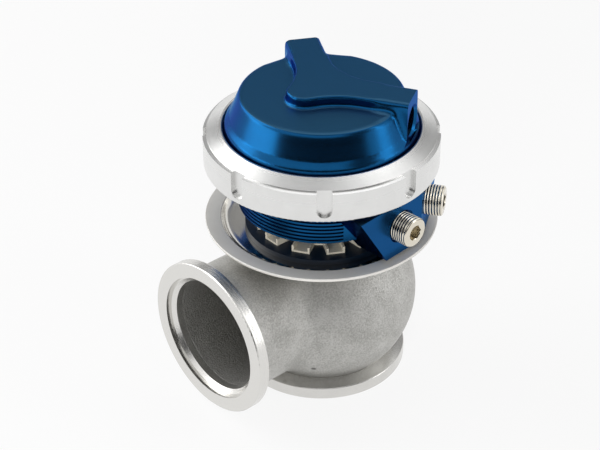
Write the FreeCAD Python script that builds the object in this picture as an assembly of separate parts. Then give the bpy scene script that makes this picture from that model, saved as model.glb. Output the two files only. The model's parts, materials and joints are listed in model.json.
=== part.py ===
"""External turbo wastegate: cast valve body, finned actuator housing, screwed collar and cap.

Millimetres, +Z up along the valve axis. The origin is the centre of the inlet flange's
lower face. Exhaust comes in at the bottom flange and leaves at the side flange, along -Y.
"""
import FreeCAD, Part
import math
import os

V = FreeCAD.Vector
UP = V(0, 0, 1)

# Fits and clearances
FIT = 0.02            # radial play of a part pressed or screwed into its own carrier
RUN = 0.06            # radial play of a part that slides or turns
GAP = 0.3             # free gap between pieces of different bodies
LAP = 2.0             # how far joined shapes run into each other

# Gas side: valve body
BORE_R = 19.9         # outlet gas bore
BORE_FROM = 18.4      # valve axis to the outlet bore's inner end
FLANGE_BACK = 1.5     # rise of a flange's tapered back
INLET_R = 29.5        # inlet flange
INLET_RIM = 4.4
NECK_R = 24.7         # shoulder above the inlet flange
WAIST_R = 23.9
BULB_R = 33.0         # valve chamber
BULB_Z = 27.5
BULB_WALL = 4.6
OUTLET_R = 27.1       # outlet flange
OUTLET_RIM = 3.9
OUTLET_REACH = 51.3   # valve axis to the outlet face
OUTLET_Z = 30.0       # height of the outlet axis
TUBE_WALL = 2.5
PILOT_STEP = 2.1      # centring recess of the outlet face, over the bore
PILOT_DEPTH = 1.5
PILOT_BEVEL = 1.3
TUBE_BLEND = 10.0     # hollow blend of the tube into the bulb
BODY_TOP = 52.8       # face that carries the actuator
BODY_TOP_R = 26.5
ROOF = 6.8            # wall over the valve chamber
GUIDE_OUT = 6.0       # guide standing out of the roof
GUIDE_IN = 3.0        # guide standing into the housing's foot

# Valve, seat and guide
SEAT_R = 22.4
SEAT_HEIGHT = 6.5
SEAT_BORE_R = 18.6
SEAT_SHOULDER = 1.2   # casting left over the seat
SEAT_LAND = 1.6       # width and height of the 45 degree seating face
VALVE_MARGIN = 1.5
VALVE_TULIP_R = 14.0
STEM_R = 3.5
STEM_THREAD_R = 3.0
GUIDE_WALL = 2.0
LIFT = 9.0            # full lift of the valve

# Heat shield, insulator and cooling ring
SHIELD_T = 1.2
SHIELD_FLOOR_R = 27.4
SHIELD_WALL_R = 33.9  # top of the dished wall, where the rim starts
SHIELD_RIM_R = 39.7
SHIELD_RISE = 3.4
SHIELD_LIP = 0.4      # rise of the rim to its edge
SHIELD_BEND = 4.0
INSULATOR_T = 1.8
INSULATOR_EDGE = 1.4  # clear of the shield's bend
COOLER_T = 0.7
BLADES = 12
BLADE_END_R = 22.6
BLADE_WIDTH = 6.2
BLADE_SIDE = 2.4      # height of a blade's turned-up sides

# Actuator housing
PEDESTAL_R = 17.0
PEDESTAL_H = 2.0
FLOOR_H = 8.0         # pedestal foot to the chamber floor
HOUSING_NECK_R = 28.2
NECK_FROM = 7.6       # start of the straight neck above the foot
NECK_TO = 18.8
THREAD_R = 36.3       # collar thread, at its pitch line
THREAD_FROM = 21.9
HOUSING_H = 31.0
NECK_CHAMBER_R = 22.0
CHAMBER_R = 29.0      # bore round the diaphragm
CHAMBER_FROM = 23.0
GROOVES = 7
GROOVE_PITCH = 1.36
GROOVE_W = 0.72
GROOVE_DEPTH = 0.9
GROOVE_FROM = 8.3
BLOCK_INNER_R = 24.5
BLOCK_FROM = 2.2
BLOCK_CHAMFER = 0.5
PORT_AZ = (4.0, 34.0)
PORT_FACE = 36.3      # valve axis to a port's flat
PORT_Z = 12.4         # port axis above the foot
PORT_DEPTH = 11.0
PORT_PASSAGE_R = 3.0
PORT_MOUTH = 0.7
BLOCK_FOOT_HALF = 7.1     # half width of a port's flat at the bottom edge
BLOCK_TOP_HALF = 19.8     # and at the top edge
PLAIN_HALF = 46.5     # ungrooved angle either side of the block's middle
PLUG_R = 5.2
PLUG_OUT = 5.8
PLUG_IN = 6.5
PLUG_HEX = 4.8        # socket across flats
PLUG_SOCKET = 4.5

# Screws, seal and circlip
SCREWS = 4
SCREW_R = 2.5
SCREW_LENGTH = 12.0
SCREW_CIRCLE_R = 11.3
SCREW_HEAD_R = 4.25
SCREW_HEAD_H = 5.0
SCREW_HEX = 4.0
SCREW_SOCKET = 2.5
TAP_MORE = 0.5        # tapped depth past a screw's end
SEAL_H = 2.6
CIRCLIP_T = 0.9
CIRCLIP_WIDTH = 1.5
CIRCLIP_GRIP = 0.4    # circlip past its bore
CIRCLIP_PLAY = 0.1    # and its groove past the circlip
CIRCLIP_GAP = 3.0

# Moving actuator stack
STACK_GAP = 0.7       # washer above the chamber floor when the valve is shut
WASHER_R = 17.5
WASHER_T = 1.5
DIAPHRAGM_T = 1.0
PISTON_R = 19.5
PISTON_T = 1.8
PISTON_FLANGE_R = 26.0
PISTON_FLANGE_T = 2.0
PISTON_H = 15.6
DIAPHRAGM_ROLL = 1.5  # height of the roll over the clamped edge
BEAD_R = 34.0
TOP_WASHER_R = 6.2
TOP_WASHER_T = 1.2
NUT_FLATS = 10.0
NUT_H = 5.0
STEM_END = 1.2        # thread showing above the nut
OUTER_COIL = (15.2, 3.0, 4.6)   # mean radius, wire, free turns
INNER_COIL = (10.2, 2.2, 5.6)
COIL_REST = 0.05      # free gap at each end of a coil

# Cap and locking collar
CAP_FLANGE_R = 35.8
CAP_FLANGE_H = 2.6
CAP_NECK_R = 32.3
CAP_WALL_Z = 6.0      # start of the tapered wall above the cap's lower face
CAP_WALL_R = 31.3
CAP_TAPER = 0.4       # loss of radius for each millimetre of height
CAP_H = 16.3
CAP_EDGE = 1.1
SPRING_ROOM_R = 19.8
CAP_CEILING = 3.4
BOSS_H = 3.7          # raised three-armed boss over the disc
BOSS_EDGE = 0.8
ARM_REACH = 30.8
ARM_HALF = 6.1
ARM_AZ = (30.0, 150.0)
NOSE_REACH = 13.5
NOSE_FLAT = 0.1       # flat left between the nose's two corners
FRONT_BLEND = 6.4
BACK_BLEND = 20.0
CAP_PORT_R = 5.1
CAP_PORT_MOUTH = 0.8
CAP_PORT_Z = 10.7     # port axis above the cap's lower face
CAP_PORT_DEPTH = 10.0
CAP_PASSAGE_IN = 3.0  # past the wall of the spring room
COLLAR_WALL = 3.2     # over the thread
COLLAR_FROM = 23.3    # above the housing's foot
COLLAR_EDGE = 33.6
COLLAR_TOP = 37.1
COLLAR_LIP_R = 32.9
COLLAR_SLOTS = 8
COLLAR_SLOT_W = 5.0
COLLAR_SLOT_DEPTH = 1.3
COLLAR_SLOT_FOOT = 1.6
COLLAR_SLOT_AZ = 4.0
COLLAR_STEP = 0.6

# Sizes that follow
COLLAR_R = THREAD_R + COLLAR_WALL
BLOCK_R = math.hypot(PORT_FACE, BLOCK_TOP_HALF) + BLOCK_CHAMFER
INLET_TOP = INLET_RIM + FLANGE_BACK
SHIELD_Z = BODY_TOP
INSULATOR_Z = SHIELD_Z + SHIELD_T
COOLER_Z = INSULATOR_Z + INSULATOR_T
FOOT_Z = COOLER_Z + COOLER_T
FLOOR_Z = FOOT_Z + FLOOR_H
HOUSING_TOP = FOOT_Z + HOUSING_H
WASHER_Z = FLOOR_Z + STACK_GAP
DIAPHRAGM_Z = WASHER_Z + WASHER_T
PISTON_Z = DIAPHRAGM_Z + DIAPHRAGM_T
TOP_WASHER_Z = PISTON_Z + PISTON_T
NUT_Z = TOP_WASHER_Z + TOP_WASHER_T
PISTON_TOP = PISTON_Z + PISTON_H
PISTON_UNDER = PISTON_TOP - PISTON_FLANGE_T
CHAMBER_ROOF = PISTON_TOP + LIFT + 2 * GAP
CAP_Z = HOUSING_TOP + DIAPHRAGM_T
DISC_Z = CAP_Z + CAP_H
BOSS_Z = DISC_Z + BOSS_H
CEILING_Z = DISC_Z - CAP_CEILING
GUIDE_R = STEM_R + RUN + GUIDE_WALL
GUIDE_Z = BODY_TOP - ROOF - GUIDE_OUT
GUIDE_TOP = FOOT_Z + GUIDE_IN
SEAL_Z = GUIDE_TOP + GAP
CIRCLIP_Z = SEAL_Z + SEAL_H
HEAD_Z = FLOOR_Z - SCREW_HEAD_H
TUBE_R = BORE_R + TUBE_WALL
BLOCK_AZ = sum(PORT_AZ) / 2


def flat_place(u, v):
    return V(u, v, 0)


def side_place(u, v):
    return V(u, 0, v)


def outline(corners, place):
    """Closed wire through corners (u, v) or (u, v, radius), rounded where a radius is given."""
    spots = []
    for i, corner in enumerate(corners):
        here = V(corner[0], corner[1], 0)
        radius = corner[2] if len(corner) > 2 else 0
        before, after = corners[i - 1], corners[(i + 1) % len(corners)]
        to_before = (V(before[0], before[1], 0) - here).normalize()
        to_after = (V(after[0], after[1], 0) - here).normalize()
        half = to_before.getAngle(to_after) / 2
        middle = (to_before + to_after)
        if radius == 0 or middle.Length < 1e-6:
            spots.append((here, here, here))
            continue
        middle.normalize()
        reach = radius / math.tan(half)
        top = here + middle * (radius / math.sin(half) - radius)
        spots.append((here + to_before * reach, top, here + to_after * reach))
    edges = []
    for i, (start, top, end) in enumerate(spots):
        last = spots[i - 1][2]
        if (start - last).Length > 1e-6:
            edges.append(Part.LineSegment(place(last.x, last.y), place(start.x, start.y)).toShape())
        if (end - start).Length > 1e-6:
            arc = Part.Arc(place(start.x, start.y), place(top.x, top.y), place(end.x, end.y))
            edges.append(arc.toShape())
    return Part.Wire(edges)


def spin(corners):
    """Solid of revolution about Z from a profile of (radius, height[, rounding])."""
    return Part.Face(outline(corners, side_place)).revolve(V(0, 0, 0), UP, 360)


def prism(corners, z0, z1):
    face = Part.Face(outline(corners, flat_place))
    face.translate(V(0, 0, z0))
    return face.extrude(V(0, 0, z1 - z0))


def rod(radius, z0, z1):
    return Part.makeCylinder(radius, z1 - z0, V(0, 0, z0))


def ring(outer, inner, z0, z1):
    return rod(outer, z0, z1).cut(rod(inner, z0 - 1, z1 + 1))


def hexagon(flats, z0, z1):
    reach = flats / math.sqrt(3)
    turns = [math.radians(60 * i) for i in range(6)]
    return prism([(reach * math.cos(a), reach * math.sin(a)) for a in turns], z0, z1)


def turned(shape, azimuth):
    """Copy of a shape turned about the valve axis."""
    copy = shape.copy()
    copy.rotate(V(0, 0, 0), UP, azimuth)
    return copy


def spread(shape, azimuths):
    return [turned(shape, a) for a in azimuths]


def outward(shape, azimuth, z):
    """A shape modelled along +Z, laid radially outward at an azimuth and height."""
    copy = shape.copy()
    copy.rotate(V(0, 0, 0), V(0, 1, 0), 90)
    copy.translate(V(0, 0, z))
    copy.rotate(V(0, 0, 0), UP, azimuth)
    return copy


def save(name, shape):
    shape.exportStep("parts/" + name + ".step")


# ---- gas side -------------------------------------------------------------

def to_outlet(shape):
    """A shape modelled along +Z, laid on the outlet axis."""
    copy = shape.copy()
    copy.rotate(V(0, 0, 0), V(1, 0, 0), 90)
    copy.translate(V(0, 0, OUTLET_Z))
    return copy


def inlet_flange():
    """Turned V-band ring round the seat, joined to the neck at its shoulder."""
    bore = SEAT_R + FIT
    return spin([(bore, 0, 0.3), (INLET_R, 0, 0.4), (INLET_R, INLET_RIM, 0.4),
                 (NECK_R, INLET_TOP), (bore, INLET_TOP)])


def neck():
    """Machined shoulder and the flare into the bulb."""
    z = INLET_TOP
    return spin([(0, z), (NECK_R, z), (NECK_R, z + 0.6, 0.3), (WAIST_R, z + 0.8, 0.5),
                 (WAIST_R, z + 2.6, 3.0), (WAIST_R + 3.6, z + 6.4), (0, z + 6.4)])


def outlet_flange():
    back = OUTLET_REACH - OUTLET_RIM
    root = back - FLANGE_BACK
    return to_outlet(spin([(0, root), (TUBE_R + 0.6, root), (OUTLET_R, back, 0.4),
                           (OUTLET_R, OUTLET_REACH, 0.4), (0, OUTLET_REACH)]))


def actuator_seat():
    """Round flange on top of the bulb that carries the actuator."""
    low = BODY_TOP - ROOF + 0.3
    return spin([(0, low), (BODY_TOP_R - 4, low), (BODY_TOP_R, BODY_TOP - 4, 1),
                 (BODY_TOP_R, BODY_TOP, 0.4), (0, BODY_TOP)])


def bulb_with_tube():
    """Round valve chamber with the outlet tube blended into it."""
    bulb = Part.makeSphere(BULB_R, V(0, 0, BULB_Z))
    joined = bulb.fuse(to_outlet(rod(TUBE_R, 0, OUTLET_REACH - 1)))
    seam = [e for e in joined.Edges if not e.Degenerated and is_tube_seam(e)]
    return joined.makeFillet(TUBE_BLEND, seam)


def is_tube_seam(edge):
    """True for the closed curve where the outlet tube meets the bulb."""
    middle = edge.valueAt((edge.FirstParameter + edge.LastParameter) / 2)
    from_tube = math.hypot(middle.x, middle.z - OUTLET_Z)
    from_bulb = middle.distanceToPoint(V(0, 0, BULB_Z))
    return abs(from_tube - TUBE_R) < 0.01 and abs(from_bulb - BULB_R) < 0.01


def chamber():
    """Gas room over the valve."""
    room = Part.makeSphere(BULB_R - BULB_WALL, V(0, 0, BULB_Z))
    return room.common(rod(BULB_R, SEAT_HEIGHT, BODY_TOP - ROOF))


def bores():
    """Straight bores: seat recess, valve mouth, outlet bore and the outlet's pilot recess."""
    mouth = rod(SEAT_R - SEAT_SHOULDER, SEAT_HEIGHT - 1, BULB_Z)
    seat_room = rod(SEAT_R + FIT, -1, SEAT_HEIGHT)
    bore = rod(BORE_R, BORE_FROM, OUTLET_REACH + 1)
    floor = OUTLET_REACH - PILOT_DEPTH
    pilot = spin([(0, floor - PILOT_BEVEL), (BORE_R, floor - PILOT_BEVEL),
                  (BORE_R + PILOT_BEVEL, floor), (BORE_R + PILOT_STEP, floor),
                  (BORE_R + PILOT_STEP, OUTLET_REACH + 1), (0, OUTLET_REACH + 1)])
    return [to_outlet(bore), to_outlet(pilot), mouth, seat_room]


def valve_body():
    body = bulb_with_tube().common(rod(OUTLET_REACH * 2, INLET_TOP, BODY_TOP))
    for piece in (neck(), outlet_flange(), actuator_seat()):
        body = body.fuse(piece)
    for hollow in [chamber()] + bores():
        body = body.cut(hollow)
    tapped = rod(SCREW_R + FIT, HEAD_Z - SCREW_LENGTH - TAP_MORE, BODY_TOP + 1)
    holes = spread(tapped.translated(V(SCREW_CIRCLE_R, 0, 0)), screw_azimuths())
    return body.cut(holes + [rod(GUIDE_R + FIT, GUIDE_Z - 1, BODY_TOP + 1)])


def valve_seat():
    top = SEAT_HEIGHT
    return spin([(SEAT_BORE_R, 0, 0.5), (SEAT_R, 0, 0.3), (SEAT_R, top, 0.3),
                 (SEAT_BORE_R + SEAT_LAND, top), (SEAT_BORE_R, top - SEAT_LAND)])


def valve_guide():
    return spin([(STEM_R + RUN, GUIDE_Z), (GUIDE_R, GUIDE_Z, 0.5), (GUIDE_R, GUIDE_TOP, 0.5),
                 (STEM_R + RUN, GUIDE_TOP)])


def valve():
    """Poppet: head with its 45 degree face, tulip, stem and threaded end."""
    face_gap = 0.1
    head_r = SEAT_BORE_R + SEAT_LAND - 0.2
    top = SEAT_HEIGHT + face_gap
    foot = top - SEAT_LAND - 0.2
    margin = top + VALVE_MARGIN
    shoulder = WASHER_Z
    end = NUT_Z + NUT_H + STEM_END
    return spin([(0, foot), (head_r - SEAT_LAND, foot, 0.2), (head_r, top), (head_r, margin, 0.3),
                 (STEM_R, margin + 1.8, VALVE_TULIP_R), (STEM_R, shoulder),
                 (STEM_THREAD_R, shoulder), (STEM_THREAD_R, end, 0.5), (0, end)])


# ---- between body and actuator --------------------------------------------

def screw_azimuths():
    return [45 + 360 / SCREWS * i for i in range(SCREWS)]


def screw_holes(z0, z1):
    hole = rod(SCREW_R + GAP, z0, z1).translated(V(SCREW_CIRCLE_R, 0, 0))
    return spread(hole, screw_azimuths())


def heat_shield():
    """Spun sheet: flat floor, dished wall and a nearly flat rim."""
    floor, bore, bend = SHIELD_Z, GUIDE_R + GAP, SHIELD_BEND
    rim, edge = floor + SHIELD_RISE, floor + SHIELD_RISE + SHIELD_LIP
    dish = spin([(bore, floor), (SHIELD_FLOOR_R, floor, bend), (SHIELD_WALL_R, rim, bend),
                 (SHIELD_RIM_R, edge, 0.4), (SHIELD_RIM_R, edge + SHIELD_T, 0.4),
                 (SHIELD_WALL_R, rim + SHIELD_T, bend), (SHIELD_FLOOR_R, floor + SHIELD_T, bend),
                 (bore, floor + SHIELD_T)])
    return dish.cut(screw_holes(floor - 1, floor + SHIELD_T + 1))


def insulator_ring():
    plate = ring(SHIELD_FLOOR_R - INSULATOR_EDGE, GUIDE_R + GAP, INSULATOR_Z, COOLER_Z)
    return plate.cut(screw_holes(INSULATOR_Z - 1, COOLER_Z + 1))


def cooler_blade():
    """One channel: a floor strip, two turned-up sides and a turned-up end."""
    root = PEDESTAL_R - LAP
    width = BLADE_WIDTH
    start = PEDESTAL_R + GAP
    strip = Part.makeBox(BLADE_END_R - root, width, COOLER_T, V(root, -width / 2, COOLER_Z))
    side = Part.makeBox(BLADE_END_R - start, COOLER_T, BLADE_SIDE, V(start, -width / 2, COOLER_Z))
    other = side.translated(V(0, width - COOLER_T, 0))
    return strip.fuse([side, other])


def cooler_ring():
    plate = ring(PEDESTAL_R, GUIDE_R + GAP, COOLER_Z, FOOT_Z)
    blades = spread(cooler_blade(), [360 / BLADES * i for i in range(BLADES)])
    ring_shape = plate.fuse(blades).removeSplitter()
    return ring_shape.cut(screw_holes(COOLER_Z - 1, FOOT_Z + 1))


def housing_screws():
    head = rod(SCREW_HEAD_R, HEAD_Z, FLOOR_Z).fuse(rod(SCREW_R, HEAD_Z - SCREW_LENGTH, HEAD_Z))
    screw = head.cut(hexagon(SCREW_HEX, FLOOR_Z - SCREW_SOCKET, FLOOR_Z + 1))
    return Part.makeCompound(spread(screw.translated(V(SCREW_CIRCLE_R, 0, 0)), screw_azimuths()))


# ---- actuator housing -----------------------------------------------------

def block_side(azimuth, hand):
    """Wedge behind one port's flat: bounded by the flat and the slanted side on one hand."""
    low, high = FOOT_Z + BLOCK_FROM, FOOT_Z + THREAD_FROM
    far = -hand * 2 * BLOCK_R
    corners = [(hand * BLOCK_FOOT_HALF, low), (hand * BLOCK_TOP_HALF, high), (far, high), (far, low)]
    face = Part.Face(outline(corners, lambda u, v: V(0, u, v)))
    return turned(face.extrude(V(PORT_FACE, 0, 0)), azimuth)


def port_block():
    low, high = FOOT_Z + BLOCK_FROM, FOOT_Z + THREAD_FROM
    block = spin([(BLOCK_INNER_R, low), (BLOCK_R, low), (BLOCK_R, high - BLOCK_CHAMFER),
                  (BLOCK_R - BLOCK_CHAMFER, high), (BLOCK_INNER_R, high)])
    block = block.common(block_side(PORT_AZ[0], -1))
    return block.common(block_side(PORT_AZ[1], 1))


def cooling_grooves():
    """Grooves round the neck, left out at the port block."""
    start = BLOCK_AZ + PLAIN_HALF
    sweep = 360 - 2 * PLAIN_HALF
    core = rod(HOUSING_NECK_R - GROOVE_DEPTH, FOOT_Z, FOOT_Z + HOUSING_H)
    cuts = []
    for i in range(GROOVES):
        z = FOOT_Z + GROOVE_FROM + i * GROOVE_PITCH
        band = Part.makeCylinder(HOUSING_NECK_R + 1, GROOVE_W, V(0, 0, z), UP, sweep)
        cuts.append(turned(band, start).cut(core))
    return cuts


def port_holes():
    thread = rod(PLUG_R + FIT, PORT_FACE - PORT_DEPTH, BLOCK_R + 1)
    passage = rod(PORT_PASSAGE_R, NECK_CHAMBER_R - LAP, PORT_FACE)
    mouth = Part.makeCone(PLUG_R, PLUG_R + 2 * PORT_MOUTH, 2 * PORT_MOUTH,
                          V(0, 0, PORT_FACE - PORT_MOUTH))
    hole = thread.fuse([passage, mouth])
    return [outward(hole, azimuth, FOOT_Z + PORT_Z) for azimuth in PORT_AZ]


def lower_housing():
    foot, top = FOOT_Z, HOUSING_TOP
    shell = spin([(0, foot), (PEDESTAL_R, foot, 0.3), (PEDESTAL_R, foot + PEDESTAL_H, 1.5),
                  (HOUSING_NECK_R - 0.8, foot + NECK_FROM - 0.6), (HOUSING_NECK_R, foot + NECK_FROM),
                  (HOUSING_NECK_R, foot + NECK_TO, 1.5), (THREAD_R, foot + THREAD_FROM),
                  (THREAD_R, top, 0.5), (0, top)])
    shell = shell.fuse(port_block()).removeSplitter()
    room = spin([(0, FLOOR_Z), (NECK_CHAMBER_R, FLOOR_Z, 1), (NECK_CHAMBER_R, foot + CHAMBER_FROM, 0.6),
                 (CHAMBER_R, foot + CHAMBER_FROM, 0.6), (CHAMBER_R, top + 1), (0, top + 1)])
    guide_hole = rod(GUIDE_R + FIT, foot - 1, FLOOR_Z + 1)
    clip_groove = rod(GUIDE_R + CIRCLIP_GRIP + CIRCLIP_PLAY, CIRCLIP_Z, CIRCLIP_Z + CIRCLIP_T)
    heads = spread(rod(SCREW_HEAD_R + GAP, HEAD_Z, FLOOR_Z + 1).translated(V(SCREW_CIRCLE_R, 0, 0)),
                   screw_azimuths())
    cuts = [room, guide_hole, clip_groove] + heads + screw_holes(foot - 1, HEAD_Z + 1)
    return shell.cut(cuts + port_holes() + cooling_grooves())


def port_plug(azimuth):
    """Taper plug with a hexagon socket, screwed part way into its port."""
    inner, face = PORT_FACE - PLUG_IN, PORT_FACE + PLUG_OUT
    plug = spin([(0, inner), (PLUG_R, inner, 0.5), (PLUG_R, face, 0.7), (0, face)])
    plug = plug.cut(hexagon(PLUG_HEX, face - PLUG_SOCKET, face + 1))
    return outward(plug, azimuth, FOOT_Z + PORT_Z)


def stem_seal():
    return spin([(STEM_R + RUN, SEAL_Z, 0.3), (GUIDE_R, SEAL_Z), (GUIDE_R, CIRCLIP_Z),
                 (STEM_R + RUN, CIRCLIP_Z, 0.3)])


def seal_circlip():
    """Internal circlip: open ring with a gap for its springing."""
    outer = GUIDE_R + CIRCLIP_GRIP
    clip = ring(outer, outer - CIRCLIP_WIDTH, CIRCLIP_Z, CIRCLIP_Z + CIRCLIP_T)
    gap = Part.makeBox(outer, CIRCLIP_GAP, CIRCLIP_T + 2, V(0, -CIRCLIP_GAP / 2, CIRCLIP_Z - 1))
    return clip.cut(gap)


# ---- moving stack ---------------------------------------------------------

def clamp_washer():
    return spin([(STEM_THREAD_R + FIT, WASHER_Z), (WASHER_R, WASHER_Z, 0.5), (WASHER_R, DIAPHRAGM_Z),
                 (STEM_THREAD_R + FIT, DIAPHRAGM_Z)])


def piston():
    """Deep cup that carries the springs, with a flange that backs the diaphragm."""
    top, under = PISTON_TOP, PISTON_UNDER
    inner = PISTON_R - PISTON_T
    floor = PISTON_Z + PISTON_T
    return spin([(STEM_THREAD_R + FIT, PISTON_Z), (PISTON_R, PISTON_Z, 1.5), (PISTON_R, under, 1.0),
                 (PISTON_FLANGE_R, under, 0.5), (PISTON_FLANGE_R, top, 0.5), (inner, top, 0.6),
                 (inner, floor, 1.0), (STEM_THREAD_R + FIT, floor)])


def diaphragm():
    """Moulded rubber: under the piston, up its flange, over the roll, out to the clamped edge."""
    t = DIAPHRAGM_T
    slack = 0.15
    low, under = DIAPHRAGM_Z, PISTON_UNDER
    side, edge = PISTON_R + slack, PISTON_FLANGE_R + slack
    roll = CAP_Z + DIAPHRAGM_ROLL
    inner = [(STEM_THREAD_R + FIT, low + t), (side, low + t, 1.5), (side, under - slack, 1.0),
             (edge, under - slack, 0.5), (edge, roll, 0.6), (CHAMBER_R - slack, roll, 0.6),
             (CHAMBER_R - slack, CAP_Z), (BEAD_R, CAP_Z)]
    outer = [(BEAD_R, HOUSING_TOP), (CHAMBER_R - slack - t, HOUSING_TOP),
             (CHAMBER_R - slack - t, roll - t), (edge + t, roll - t),
             (edge + t, under - slack - t, 1.0), (side + t, under - slack - t, 0.5),
             (side + t, low, 2.0), (STEM_THREAD_R + FIT, low)]
    return spin(inner + outer)


def piston_washer():
    return ring(TOP_WASHER_R, STEM_THREAD_R + FIT, TOP_WASHER_Z, NUT_Z)


def stem_nut():
    nut = hexagon(NUT_FLATS, NUT_Z, NUT_Z + NUT_H)
    round_off = spin([(0, NUT_Z), (NUT_FLATS / 2 + 0.9, NUT_Z), (NUT_FLATS / 2 + 0.9, NUT_Z + NUT_H - 0.6),
                      (NUT_FLATS / 2, NUT_Z + NUT_H), (0, NUT_Z + NUT_H)])
    return nut.common(round_off).cut(rod(STEM_THREAD_R + FIT, NUT_Z - 1, NUT_Z + NUT_H + 1))


def spring(coil):
    """Round-wire helix between the piston's floor and the cap's ceiling."""
    radius, wire, turns = coil
    rest = wire / 2 + COIL_REST
    low = PISTON_Z + PISTON_T + rest
    height = CEILING_Z - rest - low
    helix = Part.makeHelix(height / turns, height, radius)
    helix.translate(V(0, 0, low))
    section = Part.Wire(Part.makeCircle(wire / 2, V(radius, 0, low), V(0, 1, 0)))
    return Part.Wire(helix).makePipeShell([section], True, True)


# ---- cap and collar -------------------------------------------------------

def polar(reach, lateral, azimuth):
    """Point at a reach along an azimuth and a distance to its left."""
    a = math.radians(azimuth)
    return (reach * math.cos(a) - lateral * math.sin(a), reach * math.sin(a) + lateral * math.cos(a))


def boss_outline():
    """Two straight arms with flat ends and a short round nose, joined by hollow blends."""
    right, left = ARM_AZ
    nose = (right + left) / 2 + 180
    corner = ARM_HALF / math.sin(math.radians(60))
    nose_round = ARM_HALF - NOSE_FLAT / 2
    return [polar(ARM_REACH, -ARM_HALF, right), polar(ARM_REACH, ARM_HALF, right),
            polar(corner, 0, nose + 180) + (BACK_BLEND,),
            polar(ARM_REACH, -ARM_HALF, left), polar(ARM_REACH, ARM_HALF, left),
            polar(corner, 0, nose - 60) + (FRONT_BLEND,),
            polar(NOSE_REACH, -ARM_HALF, nose) + (nose_round,),
            polar(NOSE_REACH, ARM_HALF, nose) + (nose_round,),
            polar(corner, 0, nose + 60) + (FRONT_BLEND,)]


def cap_shell():
    z = CAP_Z
    disc_r = CAP_WALL_R - CAP_TAPER * (CAP_H - CAP_WALL_Z)
    return spin([(0, z), (CAP_FLANGE_R, z, 0.4), (CAP_FLANGE_R, z + CAP_FLANGE_H, 0.4),
                 (CAP_NECK_R, z + CAP_FLANGE_H), (CAP_NECK_R, z + CAP_WALL_Z - 1.2, 0.3),
                 (CAP_WALL_R, z + CAP_WALL_Z - 0.9, 1.0), (disc_r, z + CAP_H, CAP_EDGE), (0, z + CAP_H)])


def cap():
    boss = prism(boss_outline(), CAP_Z + CAP_FLANGE_H, BOSS_Z)
    rim = [e for e in boss.Edges if e.BoundBox.ZMin > BOSS_Z - 0.01]
    ends = [e for e in rim if e.Curve.TypeId == "Part::GeomLine" and is_arm_end(e)]
    boss = boss.makeFillet(BOSS_EDGE, [e for e in rim if not any(e.isSame(x) for x in ends)])
    body = cap_shell().fuse(boss).removeSplitter()
    room = spin([(0, CAP_Z - 1), (CHAMBER_R, CAP_Z - 1), (CHAMBER_R, CHAMBER_ROOF, 1.5),
                 (SPRING_ROOM_R, CHAMBER_ROOF, 0.6), (SPRING_ROOM_R, CEILING_Z, 1.0),
                 (0, CEILING_Z)])
    mouth = Part.makeCone(CAP_PORT_R, CAP_PORT_R + CAP_PORT_MOUTH, CAP_PORT_MOUTH,
                          V(0, 0, ARM_REACH - CAP_PORT_MOUTH))
    passage = rod(PORT_PASSAGE_R, SPRING_ROOM_R - CAP_PASSAGE_IN, ARM_REACH)
    hole = rod(CAP_PORT_R, ARM_REACH - CAP_PORT_DEPTH, ARM_REACH + 1).fuse(mouth).fuse(passage)
    ports = [outward(hole, azimuth, CAP_Z + CAP_PORT_Z) for azimuth in ARM_AZ]
    return body.cut([room] + ports)


def is_arm_end(edge):
    middle = edge.CenterOfMass
    return math.hypot(middle.x, middle.y) > ARM_REACH - 0.5


def locking_collar():
    low, edge, top = FOOT_Z + COLLAR_FROM, FOOT_Z + COLLAR_EDGE, FOOT_Z + COLLAR_TOP
    shelf = CAP_Z + CAP_FLANGE_H + RUN
    bore = THREAD_R + RUN
    shoulder = COLLAR_R - COLLAR_STEP * 2
    body = spin([(bore, low, 0.5), (COLLAR_R, low, 0.4), (COLLAR_R, edge),
                 (shoulder, edge + COLLAR_STEP / 2), (shoulder, edge + COLLAR_STEP * 1.5),
                 (COLLAR_LIP_R, top, 0.7), (COLLAR_LIP_R, shelf), (bore, shelf)])
    depth_r = COLLAR_R - COLLAR_SLOT_DEPTH
    foot = low + COLLAR_SLOT_FOOT + COLLAR_SLOT_W / 2
    out = COLLAR_SLOT_DEPTH + 1
    slot = Part.makeBox(out, COLLAR_SLOT_W, top - foot + 1, V(depth_r, -COLLAR_SLOT_W / 2, foot))
    slot = slot.fuse(Part.makeCylinder(COLLAR_SLOT_W / 2, out, V(depth_r, 0, foot), V(1, 0, 0)))
    azimuths = [COLLAR_SLOT_AZ + 360 / COLLAR_SLOTS * i for i in range(COLLAR_SLOTS)]
    return body.cut(spread(slot, azimuths))


def main():
    os.makedirs("parts", exist_ok=True)
    save("valve_body", valve_body())
    save("inlet_flange", inlet_flange())
    save("valve_seat", valve_seat())
    save("valve_guide", valve_guide())
    save("valve", valve())
    save("heat_shield", heat_shield())
    save("insulator_ring", insulator_ring())
    save("cooler_ring", cooler_ring())
    save("housing_screws", housing_screws())
    save("lower_housing", lower_housing())
    save("front_port_plug", port_plug(PORT_AZ[0]))
    save("side_port_plug", port_plug(PORT_AZ[1]))
    save("stem_seal", stem_seal())
    save("seal_circlip", seal_circlip())
    save("clamp_washer", clamp_washer())
    save("diaphragm", diaphragm())
    save("piston", piston())
    save("piston_washer", piston_washer())
    save("stem_nut", stem_nut())
    save("outer_spring", spring(OUTER_COIL))
    save("inner_spring", spring(INNER_COIL))
    save("cap", cap())
    save("locking_collar", locking_collar())


main()
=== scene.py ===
"""Looks of the turbo wastegate, laid out as an add-on and run as a script.

Metres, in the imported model's frame: +Z up the valve axis, the outlet flange faces -Y.
"""
import json
import math

import bpy
from bpy.props import FloatProperty, FloatVectorProperty, IntProperty, PointerProperty
from mathutils import Matrix, Vector


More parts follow.
